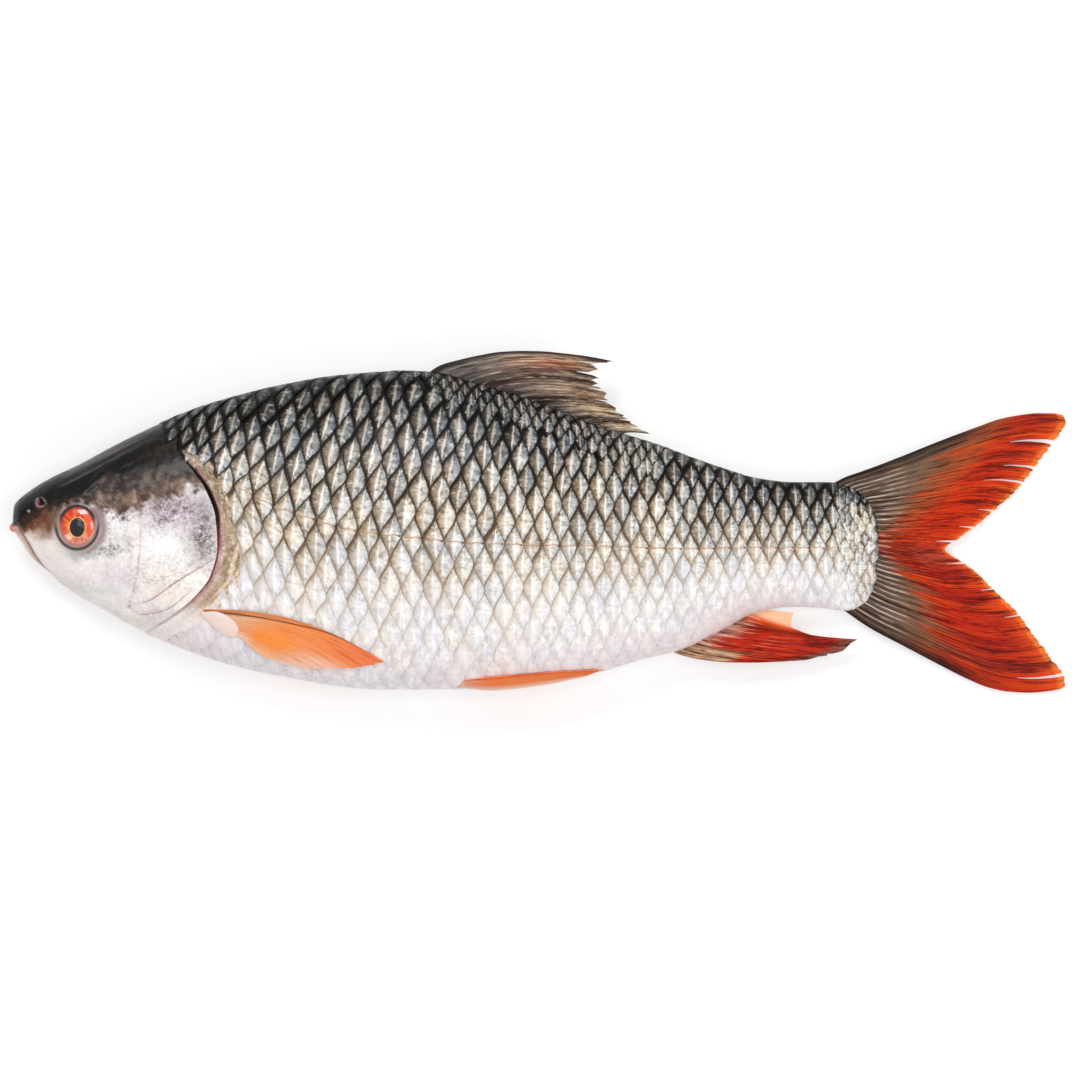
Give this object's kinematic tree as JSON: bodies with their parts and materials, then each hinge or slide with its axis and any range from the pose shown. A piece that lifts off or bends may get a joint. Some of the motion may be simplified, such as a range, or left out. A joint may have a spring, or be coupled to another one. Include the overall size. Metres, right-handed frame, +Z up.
{
  "type": "whole raw fish",
  "caption": "Whole raw carp lying on its side: silver scaled body, orange breast and belly fins, and a deep red forked tail.",
  "frame": {"origin": "centre of the bottom of the bounding box, on the table that the fish lies on", "axes": "+X runs from the snout to the tail, +Y from the belly to the back, +Z up out of the shown left flank"},
  "size_m": [0.422, 0.1357, 0.0515],
  "materials": {
    "silver_skin": "wet silver scales, dark grey along the back"
  },
  "bodies": {
    "root": {"fish": "silver_skin"}
  },
  "joints": []
}
